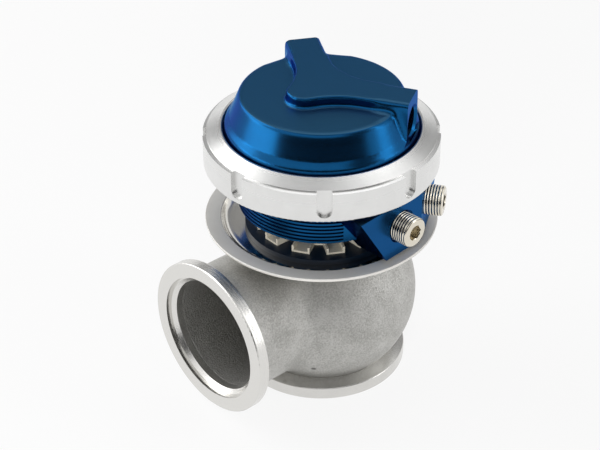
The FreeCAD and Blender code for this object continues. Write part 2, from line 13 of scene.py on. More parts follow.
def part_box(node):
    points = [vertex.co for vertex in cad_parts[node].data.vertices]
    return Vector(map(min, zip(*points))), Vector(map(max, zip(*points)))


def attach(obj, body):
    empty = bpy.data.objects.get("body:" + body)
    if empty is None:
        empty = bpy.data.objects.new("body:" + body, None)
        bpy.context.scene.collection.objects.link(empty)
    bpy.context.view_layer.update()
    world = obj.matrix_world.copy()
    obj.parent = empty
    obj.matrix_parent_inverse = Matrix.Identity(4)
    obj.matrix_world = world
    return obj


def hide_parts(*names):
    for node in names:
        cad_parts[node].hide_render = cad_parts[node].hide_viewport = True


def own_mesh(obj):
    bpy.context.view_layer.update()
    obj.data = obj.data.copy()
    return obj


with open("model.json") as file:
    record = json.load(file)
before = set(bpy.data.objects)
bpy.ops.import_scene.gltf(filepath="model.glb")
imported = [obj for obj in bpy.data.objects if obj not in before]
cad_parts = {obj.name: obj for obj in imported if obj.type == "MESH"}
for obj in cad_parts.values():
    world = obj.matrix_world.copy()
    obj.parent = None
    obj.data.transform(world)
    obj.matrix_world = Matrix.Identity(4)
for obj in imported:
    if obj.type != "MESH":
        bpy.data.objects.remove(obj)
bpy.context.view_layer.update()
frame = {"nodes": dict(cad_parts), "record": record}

bl_info = {
    "name": "Turbo wastegate",
    "version": (1, 0, 0),
    "blender": (4, 5, 0),
    "location": "View3D > Sidebar > Wastegate",
    "description": "Finishes, threaded plugs, springs, diaphragm and studio of a turbo wastegate",
    "category": "Object",
}

MM = 0.001
NODES = frame["nodes"]
MOUNTS = {mount["name"]: mount for mount in frame["record"]["mounts"]}

# Gas side, in metres
OUTLET_Z = MOUNTS["outlet_pilot"]["pos_m"][2]
OUTLET_FLANGE_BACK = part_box("valve_body")[0].y + 5.4 * MM
OUTLET_BORE_R = MOUNTS["gas_outlet"]["dims"]["r_mm"] * MM
INLET_FLANGE_TOP = 5.9 * MM
BODY_TOP = 52.7 * MM      # machined face under the heat shield

# Heat shield: plain numbers are millimetres, as spun() takes them
SHEET = 1.2
SHIELD_BORE_R = 6.4
SHIELD_FLOOR_R = 32.0
SHIELD_BEND = 5.0
SHIELD_WALL_R = 34.1
SHIELD_RIM_R = 39.69
SHIELD_SET_IN = 0.3       # how far the lower side of the wall stands inside the upper one
RIM_BLAST_FROM = 34.25 * MM
RIM_BLAST_FADE = 0.2 * MM
SCREW_HOLE_R = 2.8 * MM
SCREW_CIRCLE_R = 11.3 * MM
SCREW_AZIMUTHS = (45, 135, 225, 315)

# Actuator
PORT_FACE = 36.3 * MM     # valve axis to the flat that a plug stands in
FRONT_PORT_AZIMUTH = 4.0
SIDE_PORT_AZIMUTH = 34.0
SEAT_Z = 88.5             # millimetres: the housing's rim, which clamps the diaphragm
PISTON_FLANGE_Z = 81.2
COIL_TOP = 101.35 * MM
OUTER_COIL = (1.5 * MM, 15.2 * MM, 7)     # wire radius, mean radius, turns
INNER_COIL = (1.1 * MM, 10.2 * MM, 8)

# Cap: plain numbers are millimetres, above its lower face or from the valve axis
CAP_FLANGE = (35.8, 2.6)  # radius and height
CAP_NECK = (32.3, 5.6)
CAP_DISC = 16.3
CAP_WALL_FOOT = (30.6, 7.8)
CAP_TAPER = 0.4           # loss of radius for each millimetre of height
CAP_CHAMBER = (29.0, 4.4)
SPRING_ROOM_R = 19.8
SPRING_ROOM_FLOOR = 3.0   # inside the chamber, so that the room opens into it
CEILING = 3.4             # thickness of the disc over the springs
BOSS_FROM = 6.5
ARM_HALF = 6.1
ROUGH_ARM = 36            # length of an arm before its end is cut
NOSE = 7.4                # valve axis to the centre of the boss's round nose
FRONT_HOLLOW = 26.0
BACK_HOLLOW = 20.0
CAP_ARMS = (30.0, 150.0)
CAP_ARM_REACH = 30.8 * MM
CAP_PORT_R = MOUNTS["right_cap_port"]["dims"]["r_mm"] * MM
CAP_PORT_Z = MOUNTS["right_cap_port"]["pos_m"][2]
END_FROM = 5.7 * MM       # foot of the flat end of an arm, over the cap's lower face
BLEND_NEAR = 3.5 * MM     # the blends lie between these two distances from an arm's middle
BLEND_FAR = 15 * MM
BLEND_REACH = 18 * MM
BLEND_FROM = 7 * MM
DISC_R = 26 * MM          # the disc is flat inside it

SMOOTH_ANGLE = math.radians(35)
MERGE = 1e-6


def length(name, description, default):
    """A length in metres that the panel shows in the scene's units."""
    return FloatProperty(name=name, description=description, default=default, min=0,
                         subtype="DISTANCE", unit="LENGTH", precision=5)


def tint(name, description, default):
    return FloatVectorProperty(name=name, description=description, default=default, size=3,
                               min=0, max=1, subtype="COLOR")


def place(name, description, default):
    return FloatVectorProperty(name=name, description=description, default=default, size=3,
                               subtype="TRANSLATION", unit="LENGTH")


def factor(name, description, default):
    return FloatProperty(name=name, description=description, default=default, min=0, max=1,
                         subtype="FACTOR")


class WastegateFinish(bpy.types.PropertyGroup):
    """Colours and gloss of the metals, rubber and fibre."""
    blue: tint("Anodised blue", "Dye of the cap and the actuator housing", (0.001, 0.080, 0.225))
    # The blasted blue is partly the finish of blasted faces and partly a painted sheen of the sky
    # that faces looking up reflect.
    blasted_blue_and_painted_sheen: tint("Blasted blue and painted sheen", "Tint of the faces that were blasted first, partly painted sky sheen", (0.026, 0.092, 0.172))
    cast: tint("Cast stainless", "Bead-blasted casting of the valve body", (0.57, 0.565, 0.545))
    # The darker cast colour is random tone of the casting; in the pits it is darkened further as
    # painted shade.
    cast_dark: tint("Cast shade", "Darker patches and pits of the casting", (0.41, 0.405, 0.385))
    turned: tint("Turned stainless", "Machined flanges, seat and valve", (0.72, 0.71, 0.685))
    sheet: tint("Stainless sheet", "Spun heat shield", (0.70, 0.685, 0.65))
    blade: tint("Cooler sheet", "Pressed cooling blades", (0.86, 0.80, 0.66))
    collar: tint("Clear aluminium", "Turned locking collar, piston and washers", (0.80, 0.80, 0.79))
    nickel: tint("Nickel", "Plating of the port plugs", (0.78, 0.73, 0.62))
    bronze: tint("Bronze", "Valve guide", (0.55, 0.36, 0.14))
    rubber: tint("Rubber", "Seal and the face of the diaphragm", (0.035, 0.033, 0.032))
    fabric: tint("Diaphragm fabric", "Threads that show through the diaphragm", (0.20, 0.085, 0.03))
    # The near-black insulator colour is partly its own dark fibre and partly painted shade on the
    # shield's floor under the housing.
    fibre_and_painted_shade: tint("Insulator fibre", "Pressed insulating ring", (0.004, 0.009, 0.018))
    wire: tint("Spring wire", "Plated spring steel", (0.42, 0.43, 0.46))
    oxide: tint("Black oxide", "Screws of the housing", (0.06, 0.06, 0.062))
    satin: factor("Satin", "Roughness of the blasted blue faces", 0.40)
    polish: factor("Polish", "Roughness of the turned blue walls", 0.24)


class WastegateSizes(bpy.types.PropertyGroup):
    """Sizes of the pieces that are modelled here."""
    plug_r: length("Plug radius", "Over the thread's crests", 5.2 * MM)
    plug_pitch: length("Plug pitch", "One turn of the plug's thread", 0.94 * MM)
    plug_depth: length("Thread depth", "Crest to root", 0.5 * MM)
    plug_hex: length("Socket flats", "Across the plug's hexagon socket", 4.8 * MM)
    plug_socket: length("Socket depth", "Depth of the hexagon socket", 4.5 * MM)
    plug_in: length("Plug in", "Length of a plug inside its port", 6.5 * MM)
    plug_out: length("Plug out", "Length of a plug standing out of its port", 5.8 * MM)
    plug_steps: IntProperty(name="Thread steps", description="Faces in a turn of thread",
                            default=48, min=12, max=96)


class WastegateStudio(bpy.types.PropertyGroup):
    """Camera and lamps."""
    camera: place("Camera", "Where the camera stands", (0.3844, -0.3514, 0.4009))
    aim: place("Aim", "What the camera looks at", (-0.0049, -0.0054, 0.0525))
    roll: FloatProperty(name="Roll", description="Turn of the camera about its line of sight",
                        default=math.radians(-0.24), subtype="ANGLE", unit="ROTATION")
    lens: FloatProperty(name="Lens", description="Focal length on a 36 mm sensor, in mm",
                        default=109.7, min=10)
    key: FloatProperty(name="Key", description="Power of the large left lamp, in watts",
                       default=6.0, min=0)
    low: FloatProperty(name="Low", description="Power of the low left strip, in watts",
                       default=3.4, min=0)
    fill: FloatProperty(name="Fill", description="Power of the low lamp in front, in watts",
                        default=8.0, min=0)
    top: FloatProperty(name="Top", description="Power of the lamp overhead, in watts",
                       default=1.5, min=0)
    side: FloatProperty(name="Side", description="Power of the right lamp, in watts",
                        default=2.2, min=0)
    ambient: factor("Ambient", "Grey of the room, as it lights the object", 0.35)


# Nodes

def put(tree, kind, **settings):
    """A node with its settings."""
    node = tree.nodes.new(kind)
    for name, value in settings.items():
        setattr(node, name, value)
    return node


def feed(tree, socket, value):
    """Joins a socket to another, or sets it to a number or colour."""
    if isinstance(value, bpy.types.NodeSocket):
        tree.links.new(value, socket)
    elif socket.type == "RGBA" and len(value) == 3:
        socket.default_value = (*value, 1)
    else:
        socket.default_value = value


def calc(tree, operation, *values):
    """Output of a Math node."""
    node = put(tree, "ShaderNodeMath", operation=operation)
    for socket, value in zip(node.inputs, values):
        feed(tree, socket, value)
    return node.outputs[0]


def blend_colour(tree, amount, first, second):
    node = put(tree, "ShaderNodeMix", data_type="RGBA")
    feed(tree, node.inputs[0], amount)
    feed(tree, node.inputs[6], first)
    feed(tree, node.inputs[7], second)
    return node.outputs[2]


def blend_value(tree, amount, first, second):
    node = put(tree, "ShaderNodeMix", data_type="FLOAT")
    feed(tree, node.inputs[0], amount)
    feed(tree, node.inputs[2], first)
    feed(tree, node.inputs[3], second)
    return node.outputs[0]


def noise(tree, vector, scale, detail=2.0, rough=0.5):
    node = put(tree, "ShaderNodeTexNoise")
    feed(tree, node.inputs["Vector"], vector)
    feed(tree, node.inputs["Scale"], scale)
    node.inputs["Detail"].default_value = detail
    node.inputs["Roughness"].default_value = rough
    return node.outputs["Fac"]


def step(tree, value, start, end):
    """0 at start and before it, 1 at end and after it, smooth between them."""
    node = put(tree, "ShaderNodeMapRange", interpolation_type="SMOOTHSTEP")
    feed(tree, node.inputs["Value"], value)
    feed(tree, node.inputs["From Min"], start)
    feed(tree, node.inputs["From Max"], end)
    return node.outputs["Result"]


def apart(tree, vector):
    """The three coordinates of a vector."""
    node = put(tree, "ShaderNodeSeparateXYZ")
    tree.links.new(vector, node.inputs[0])
    return node.outputs


def round_axis(tree, first, second):
    """Distance from an axis, from the two coordinates across it."""
    squares = calc(tree, "ADD", calc(tree, "MULTIPLY", first, first),
                   calc(tree, "MULTIPLY", second, second))
    return calc(tree, "SQRT", squares)


def shaded(colour, share):
    """A colour made darker by a share under 1, or lighter by one over it."""
    return tuple(share * c for c in colour)


def new_group(name, inputs, outputs):
    """An empty node group with its sockets."""
    tree = bpy.data.node_groups.new(name, "ShaderNodeTree")
    for label, kind, value in inputs:
        socket = tree.interface.new_socket(label, in_out="INPUT", socket_type=kind)
        if value is not None:
            socket.default_value = value
    for label, kind in outputs:
        tree.interface.new_socket(label, in_out="OUTPUT", socket_type=kind)
    return tree, put(tree, "NodeGroupInput"), put(tree, "NodeGroupOutput")


def turning_group():
    """Marks of a lathe tool round the Z axis: fine grooves and slow bands."""
    tree, given, made = new_group(
        "turning marks",
        [("Vector", "NodeSocketVector", None), ("Pitch", "NodeSocketFloat", 0.15 * MM)],
        [("Height", "NodeSocketFloat"), ("Band", "NodeSocketFloat")])
    x, y, z = apart(tree, given.outputs["Vector"])
    section = put(tree, "ShaderNodeCombineXYZ")
    tree.links.new(round_axis(tree, x, y), section.inputs[0])
    tree.links.new(z, section.inputs[2])
    frequency = calc(tree, "DIVIDE", 1.0, given.outputs["Pitch"])
    tree.links.new(noise(tree, section.outputs[0], frequency, 3.0, 0.7), made.inputs["Height"])
    slow = calc(tree, "MULTIPLY", frequency, 0.08)
    tree.links.new(noise(tree, section.outputs[0], slow, 2.0), made.inputs["Band"])
    return tree


def casting_group():
    """Skin of a blasted casting: grain, slow mottling and a few pits."""
    tree, given, made = new_group(
        "cast skin",
        [("Vector", "NodeSocketVector", None), ("Grain", "NodeSocketFloat", 0.55 * MM)],
        [("Height", "NodeSocketFloat"), ("Shade", "NodeSocketFloat"), ("Pits", "NodeSocketFloat")])
    vector = given.outputs["Vector"]
    grain = noise(tree, vector, calc(tree, "DIVIDE", 1.0, given.outputs["Grain"]), 4.0, 0.65)
    mottle = noise(tree, vector, 90.0, 3.0, 0.6)
    cells = put(tree, "ShaderNodeTexVoronoi")
    tree.links.new(vector, cells.inputs["Vector"])
    cells.inputs["Scale"].default_value = 130.0
    few = step(tree, noise(tree, vector, 45.0, 1.0), 0.60, 0.68)
    pits = calc(tree, "MULTIPLY", step(tree, cells.outputs["Distance"], 0.16, 0.07), few)
    shade = step(tree, blend_value(tree, 0.65, mottle, grain), 0.36, 0.62)
    height = calc(tree, "SUBTRACT", grain, calc(tree, "MULTIPLY", pits, 0.9))
    tree.links.new(height, made.inputs["Height"])
    tree.links.new(shade, made.inputs["Shade"])
    tree.links.new(pits, made.inputs["Pits"])
    return tree


def blasting_group():
    """Fine even grain of a blasted and anodised face."""
    tree, given, made = new_group(
        "blasted face",
        [("Vector", "NodeSocketVector", None), ("Grain", "NodeSocketFloat", 0.12 * MM)],
        [("Height", "NodeSocketFloat"), ("Shade", "NodeSocketFloat")])
    vector = given.outputs["Vector"]
    fine = noise(tree, vector, calc(tree, "DIVIDE", 1.0, given.outputs["Grain"]), 2.0)
    tree.links.new(fine, made.inputs["Height"])
    tree.links.new(noise(tree, vector, 140.0, 3.0), made.inputs["Shade"])
    return tree


GROUPS = {}


def effect(tree, name, vector, **values):
    """One of the shared groups, placed in a material with its own values."""
    makers = {"turning": turning_group, "casting": casting_group, "blasting": blasting_group}
    if name not in GROUPS:
        GROUPS[name] = makers[name]()
    node = put(tree, "ShaderNodeGroup", node_tree=GROUPS[name])
    feed(tree, node.inputs["Vector"], vector)
    for label, value in values.items():
        feed(tree, node.inputs[label], value)
    return node.outputs


def empty_material(name):
    material = bpy.data.materials.new(name)
    material.use_nodes = True
    material.node_tree.nodes.clear()
    return material, material.node_tree


def show(tree, shader, kind="ShaderNodeOutputMaterial"):
    """Joins a shader to the tree's output."""
    tree.links.new(shader.outputs[0], put(tree, kind).inputs["Surface"])


def new_material(name):
    """A material with its Principled BSDF and object coordinates."""
    material, tree = empty_material(name)
    shader = put(tree, "ShaderNodeBsdfPrincipled")
    show(tree, shader)
    coordinates = put(tree, "ShaderNodeTexCoord").outputs["Object"]
    return material, tree, shader, coordinates


def bump(tree, shader, height, distance):
    node = put(tree, "ShaderNodeBump")
    feed(tree, node.inputs["Height"], height)
    node.inputs["Distance"].default_value = distance
    tree.links.new(node.outputs[0], shader.inputs["Normal"])


# Finishes

def body_material(finish):
    """Blasted casting whose outlet flange, foot and top face are turned."""
    material, tree, shader, here = new_material("cast stainless body")
    x, y, z = apart(tree, here)
    skin = effect(tree, "casting", here)
    marks = effect(tree, "turning", here, Pitch=0.16 * MM)
    over_outlet = calc(tree, "SUBTRACT", z, OUTLET_Z)
    turned_place = put(tree, "ShaderNodeCombineXYZ")
    for socket, value in zip(turned_place.inputs, (x, over_outlet, y)):
        feed(tree, socket, value)
    outlet_marks = effect(tree, "turning", turned_place.outputs[0], Pitch=0.16 * MM)
    inlet = step(tree, z, INLET_FLANGE_TOP + 0.25 * MM, INLET_FLANGE_TOP)
    flange = step(tree, y, OUTLET_FLANGE_BACK + 0.2 * MM, OUTLET_FLANGE_BACK)
    outlet_r = round_axis(tree, x, over_outlet)
    open_face = step(tree, outlet_r, OUTLET_BORE_R - 0.05 * MM, OUTLET_BORE_R + 0.05 * MM)
    outlet = calc(tree, "MULTIPLY", flange, open_face)
    top = step(tree, z, BODY_TOP, BODY_TOP + 0.05 * MM)
    machined = calc(tree, "MAXIMUM", calc(tree, "MAXIMUM", inlet, outlet), top)
    cast = blend_colour(tree, skin["Shade"], finish.cast_dark, finish.cast)
    # Pits painted much darker, as the shade inside them; their dent comes from the bump.
    cast = blend_colour(tree, skin["Pits"], cast, shaded(finish.cast_dark, 0.45))
    feed(tree, shader.inputs["Base Color"], blend_colour(tree, machined, cast, finish.turned))
    cast_rough = blend_value(tree, skin["Shade"], 0.62, 0.46)
    marks_height = blend_value(tree, outlet, marks["Height"], outlet_marks["Height"])
    marks_band = blend_value(tree, outlet, marks["Band"], outlet_marks["Band"])
    turned_rough = blend_value(tree, marks_band, 0.16, 0.32)
    feed(tree, shader.inputs["Roughness"], blend_value(tree, machined, cast_rough, turned_rough))
    shader.inputs["Metallic"].default_value = 1.0
    height = blend_value(tree, machined, skin["Height"], calc(tree, "MULTIPLY", marks_height, 0.12))
    bump(tree, shader, height, 0.22 * MM)
    return material


def blue_material(finish, name):
    """Blue anodised aluminium: blasted faces that look up, given a lighter greyer blue that is
    partly a painted sheen of the sky they face, and turned and polished walls.
    """
    material, tree, shader, here = new_material(name)
    facing = put(tree, "ShaderNodeNewGeometry").outputs["Normal"]
    upward = step(tree, apart(tree, facing)[2], 0.80, 0.95)
    grain = effect(tree, "blasting", here)
    marks = effect(tree, "turning", here, Pitch=0.20 * MM)
    wall = blend_colour(tree, grain["Shade"], shaded(finish.blue, 0.82), finish.blue)
    # Faces that look up get the blasted blue, which is partly a painted sheen of the sky above
    # them.
    feed(tree, shader.inputs["Base Color"], blend_colour(tree, upward, wall, finish.blasted_blue_and_painted_sheen))
    wall_rough = blend_value(tree, marks["Band"], finish.polish - 0.05, finish.polish + 0.05)
    feed(tree, shader.inputs["Roughness"], blend_value(tree, upward, wall_rough, finish.satin))
    shader.inputs["Metallic"].default_value = 1.0
    shader.inputs["Specular Tint"].default_value = (0.06, 0.42, 0.85, 1)
    shader.inputs["Coat Weight"].default_value = 0.15
    shader.inputs["Coat Roughness"].default_value = 0.32
    lathe = calc(tree, "MULTIPLY", marks["Height"], 0.5)
    bump(tree, shader, blend_value(tree, upward, lathe, grain["Height"]), 0.012 * MM)
    return material


def turned_material(name, colour, low, high, pitch=0.16 * MM, depth=0.012 * MM, metallic=1.0):
    """Turned metal whose roughness lies between low and high."""
    material, tree, shader, here = new_material(name)
    marks = effect(tree, "turning", here, Pitch=pitch)
    grain = effect(tree, "blasting", here)
    base = blend_colour(tree, grain["Shade"], shaded(colour, 0.86), colour)
    feed(tree, shader.inputs["Base Color"], base)
    feed(tree, shader.inputs["Roughness"], blend_value(tree, marks["Band"], low, high))
    shader.inputs["Metallic"].default_value = metallic
    bump(tree, shader, marks["Height"], depth)
    return material


def shield_material(finish):
    """Bright spun dish with a matt blasted rim."""
    material, tree, shader, here = new_material("spun stainless sheet")
    x, y = apart(tree, here)[:2]
    marks = effect(tree, "turning", here, Pitch=0.6 * MM)
    grain = effect(tree, "blasting", here)
    rim = step(tree, round_axis(tree, x, y), RIM_BLAST_FROM, RIM_BLAST_FROM + RIM_BLAST_FADE)
    base = blend_colour(tree, grain["Shade"], shaded(finish.sheet, 0.88), finish.sheet)
    feed(tree, shader.inputs["Base Color"], base)
    bright = blend_value(tree, marks["Band"], 0.09, 0.18)
    feed(tree, shader.inputs["Roughness"], blend_value(tree, rim, bright, 0.48))
    feed(tree, shader.inputs["Metallic"], blend_value(tree, rim, 1.0, 0.35))
    spinning = calc(tree, "MULTIPLY", marks["Height"], 0.3)
    bump(tree, shader, blend_value(tree, rim, spinning, grain["Height"]), 0.015 * MM)
    return material


def soft_material(name, colour, second, grain_size, roughness, gloss=0.5):
    """Rubber or fibre, with its own grain."""
    material, tree, shader, here = new_material(name)
    shader.inputs["Specular IOR Level"].default_value = gloss
    grain = effect(tree, "blasting", here, Grain=grain_size)
    feed(tree, shader.inputs["Base Color"], blend_colour(tree, grain["Height"], colour, second))
    rough = blend_value(tree, grain["Shade"], roughness, roughness + 0.15)
    feed(tree, shader.inputs["Roughness"], rough)
    bump(tree, shader, grain["Height"], 0.03 * MM)
    return material


def wear(node, material):
    """Gives a CAD node its material."""
    mesh = NODES[node].data
    mesh.materials.clear()
    mesh.materials.append(material)


# Modelling

def clear_selection():
    if bpy.context.object and bpy.context.object.mode != "OBJECT":
        bpy.ops.object.mode_set(mode="OBJECT")
    bpy.ops.object.select_all(action="DESELECT")


def only(piece):
    clear_selection()
    piece.select_set(True)
    bpy.context.view_layer.objects.active = piece


def named(name):
    piece = bpy.context.object
    piece.name = name
    piece.data.name = name
    return piece


def settle(piece):
    """Puts a piece's place into its mesh."""
    only(piece)
    bpy.ops.object.transform_apply(location=True, rotation=True, scale=True)


def apply_modifier(piece, kind, **settings):
    only(piece)
    modifier = piece.modifiers.new(kind.lower(), kind)
    for name, value in settings.items():
        setattr(modifier, name, value)
    bpy.ops.object.modifier_apply(modifier=modifier.name)


def combine(piece, other, operation):
    """Boolean with another mesh, which is used up."""
    apply_modifier(piece, "BOOLEAN", object=other, operation=operation, solver="EXACT")
    bpy.data.objects.remove(other)


def finish_piece(piece, material, body, node):
    """Gives a finished piece its material and body, in place of a CAD node."""
    piece.data.materials.clear()
    piece.data.materials.append(material)
    only(piece)
    bpy.ops.object.shade_smooth_by_angle(angle=SMOOTH_ANGLE)
    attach(piece, body)
    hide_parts(node)


def corner_points(before, here, after, radius, steps=8):
    """Points that round a corner of a flat outline with an arc."""
    here = Vector(here)
    to_before = (Vector(before) - here).normalized()
    to_after = (Vector(after) - here).normalized()
    half = to_before.angle(to_after) / 2
    middle = to_before + to_after
    if radius == 0 or middle.length < MERGE:
        return [here]
    centre = here + middle.normalized() * (radius / math.sin(half))
    start = here + to_before * (radius / math.tan(half)) - centre
    end = here + to_after * (radius / math.tan(half)) - centre
    turn = start.angle_signed(end)
    return [centre + Matrix.Rotation(-turn * i / steps, 2) @ start for i in range(steps + 1)]


def rounded(corners):
    """Closed outline through corners (u, v, radius), in millimetres."""
    points = []
    for i, (u, v, radius) in enumerate(corners):
        before, after = corners[i - 1][:2], corners[(i + 1) % len(corners)][:2]
        points.extend(corner_points(before, (u, v), after, radius))
    return [point * MM for point in points]


def loop(name, points):
    """A closed wire through 3D points, made from a circle."""
    clear_selection()
    bpy.ops.mesh.primitive_circle_add(vertices=len(points))
    piece = named(name)
    for vertex, point in zip(piece.data.vertices, points):
        vertex.co = point
    return piece


def heal(piece):
    """Merges doubles and points every face outwards."""
    only(piece)
    bpy.ops.object.mode_set(mode="EDIT")
    bpy.ops.mesh.select_all(action="SELECT")
    bpy.ops.mesh.remove_doubles(threshold=MERGE)
    bpy.ops.mesh.normals_make_consistent(inside=False)
    bpy.ops.object.mode_set(mode="OBJECT")


def sweep(piece, steps, pitch=0, turns=1):
    """Turns a wire about +Z, rising by the pitch in each turn."""
    apply_modifier(piece, "SCREW", angle=2 * math.pi, screw_offset=pitch, iterations=turns,
                   steps=steps, render_steps=steps, use_merge_vertices=True, merge_threshold=MERGE)


def spun(name, corners, steps):
    """Solid turned about the valve axis from corners (radius, height, rounding)."""
    piece = loop(name, [(point.x, 0, point.y) for point in rounded(corners)])
    sweep(piece, steps)
    heal(piece)
    return piece


def slab(name, points, low, high):
    """Outline of (x, y) points in metres, filled and raised from low to high."""
    piece = loop(name, [(point.x, point.y, low) for point in points])
    only(piece)
    bpy.ops.object.mode_set(mode="EDIT")
    bpy.ops.mesh.select_all(action="SELECT")
    bpy.ops.mesh.edge_face_add()
    bpy.ops.mesh.extrude_region_move(TRANSFORM_OT_translate={"value": (0, 0, high - low)})
    bpy.ops.object.mode_set(mode="OBJECT")
    heal(piece)
    return piece


def cylinder(name, radius, depth, centre, vertices=48, top=None):
    """Cylinder along Z, or a cone where its top radius is given."""
    clear_selection()
    bpy.ops.mesh.primitive_cone_add(vertices=vertices, radius1=radius,
                                    radius2=radius if top is None else top,
                                    depth=depth, location=centre)
    piece = named(name)
    settle(piece)
    return piece


def lay_outward(piece, azimuth, reach, height):
    """Moves a piece made along +Z from the origin to lie radially outward from the axis."""
    out = Matrix.Rotation(azimuth, 4, "Z") @ Matrix.Rotation(math.pi / 2, 4, "Y")
    shift = Matrix.Translation((reach * math.cos(azimuth), reach * math.sin(azimuth), height))
    piece.data.transform(shift @ out)


def thread_core(name, crest, depth, pitch, turns, steps):
    """Helical thread along +Z from z = 0, cut flat and closed at both ends."""
    half, land = pitch / 2, pitch / 10
    root = crest - depth
    piece = loop(name, [(crest, 0, land), (crest, 0, -land), (root, 0, -half), (root, 0, half)])
    only(piece)
    bpy.ops.object.mode_set(mode="EDIT")
    bpy.ops.mesh.select_mode(type="EDGE")
    bpy.ops.mesh.select_all(action="DESELECT")
    bpy.ops.object.mode_set(mode="OBJECT")
    for edge in piece.data.edges:      # the edge on the root's side leaves the profile open
        edge.select = all(abs(piece.data.vertices[v].co.x - root) < 1e-7 for v in edge.vertices)
    bpy.ops.object.mode_set(mode="EDIT")
    bpy.ops.mesh.delete(type="EDGE")
    bpy.ops.object.mode_set(mode="OBJECT")
    sweep(piece, steps, pitch, turns + 2)
    heal(piece)
    bpy.ops.object.mode_set(mode="EDIT")
    for height, inner in ((pitch, True), (pitch * (turns + 1), False)):
        bpy.ops.mesh.select_all(action="SELECT")
        bpy.ops.mesh.bisect(plane_co=(0, 0, height), plane_no=(0, 0, 1), use_fill=True,
                            clear_inner=inner, clear_outer=not inner)
    bpy.ops.mesh.select_all(action="SELECT")
    bpy.ops.mesh.normals_make_consistent(inside=False)
    bpy.ops.transform.translate(value=(0, 0, -pitch))
    bpy.ops.object.mode_set(mode="OBJECT")
    return piece


def port_plug(node, azimuth, sizes, material):
    """Threaded plug with a hexagon socket, in place of the CAD plug."""
    low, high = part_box(node)
    span = sizes.plug_in + sizes.plug_out
    crest_r = sizes.plug_r - 0.05 * MM      # crests cut flat
    piece = cylinder(node + "_threaded", crest_r, span, (0, 0, span / 2), sizes.plug_steps)
    apply_modifier(piece, "BEVEL", width=0.75 * MM, segments=3, limit_method="ANGLE",
                   angle_limit=math.radians(60))
    socket_r = sizes.plug_hex / math.sqrt(3)
    combine(piece, cylinder("key", socket_r, sizes.plug_socket * 2, (0, 0, span), 6), "DIFFERENCE")
    lead_r, lead = 0.7 * socket_r, 1.2 * MM
    combine(piece, cylinder("lead", lead_r, lead, (0, 0, span - 0.1 * MM), 36, top=lead_r + lead),
            "DIFFERENCE")
    turns = math.ceil(span / sizes.plug_pitch) + 1
    thread = thread_core("thread", sizes.plug_r, sizes.plug_depth, sizes.plug_pitch, turns,
                         sizes.plug_steps)
    combine(piece, thread, "INTERSECT")
    lay_outward(piece, math.radians(azimuth), PORT_FACE - sizes.plug_in, (low.z + high.z) / 2)
    finish_piece(piece, material, "root", node)


def coil(node, wire, mean, turns, material):
    """Compression spring standing on the piston washer, in place of the CAD spring."""
    base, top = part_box("piston_washer")[0].z, COIL_TOP
    rise = (top - base - 2 * wire) / turns
    around = [(mean + wire * math.cos(a), 0, base + wire + wire * math.sin(a))
              for a in (2 * math.pi * i / 12 for i in range(12))]
    piece = loop(node + "_coil", around)
    sweep(piece, 36, rise, turns)
    only(piece)
    bpy.ops.object.mode_set(mode="EDIT")
    bpy.ops.mesh.select_all(action="SELECT")
    bpy.ops.mesh.fill_holes(sides=0)
    bpy.ops.object.mode_set(mode="OBJECT")
    heal(piece)
    finish_piece(piece, material, "root", node)
    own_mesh(piece)


def rolled_diaphragm(material):
    """Moulded diaphragm, in place of the CAD one."""
    low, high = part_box("diaphragm")
    z0, z1 = low.z / MM, high.z / MM
    seat, flange = SEAT_Z, PISTON_FLANGE_Z
    piece = spun("diaphragm_moulded", [
        (3.1, z0, 0), (20.6, z0, 2.0), (20.6, flange - 1.1, 0.6), (27.1, flange - 1.1, 1.4),
        (27.1, z1 - 1.0, 0.2), (27.9, z1 - 1.0, 0.2), (27.9, seat - 1.0, 0.5),
        (33.9, seat - 1.0, 0.3),
        (33.9, seat, 0.3), (28.8, seat, 0.5), (28.8, z1, 0.8), (26.2, z1, 0.8),
        (26.2, flange, 0.4), (19.7, flange, 1.0), (19.7, z0 + 1.0, 1.2), (3.1, z0 + 1.0, 0)], 96)
    finish_piece(piece, material, "root", "diaphragm")
    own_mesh(piece)


def spun_shield(material):
    """Heat shield spun from sheet: flat floor, dished wall and a flat rim."""
    low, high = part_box("heat_shield")
    z0, z1 = low.z / MM, high.z / MM
    above = [(SHIELD_BORE_R, z0 + SHEET, 0), (SHIELD_FLOOR_R, z0 + SHEET, SHIELD_BEND),
             (SHIELD_WALL_R, z1 - 0.2, 0.4), (SHIELD_RIM_R, z1, 0.3)]
    below = [(r - (SHIELD_SET_IN if r > SHIELD_BORE_R else 0), z - SHEET, radius)
             for r, z, radius in reversed(above)]
    piece = spun("heat_shield_spun", above + below, 192)
    for azimuth in SCREW_AZIMUTHS:
        a = math.radians(azimuth)
        centre = (SCREW_CIRCLE_R * math.cos(a), SCREW_CIRCLE_R * math.sin(a), low.z)
        combine(piece, cylinder("screw_hole", SCREW_HOLE_R, 6 * MM, centre, 32), "DIFFERENCE")
    finish_piece(piece, material, "root", "heat_shield")


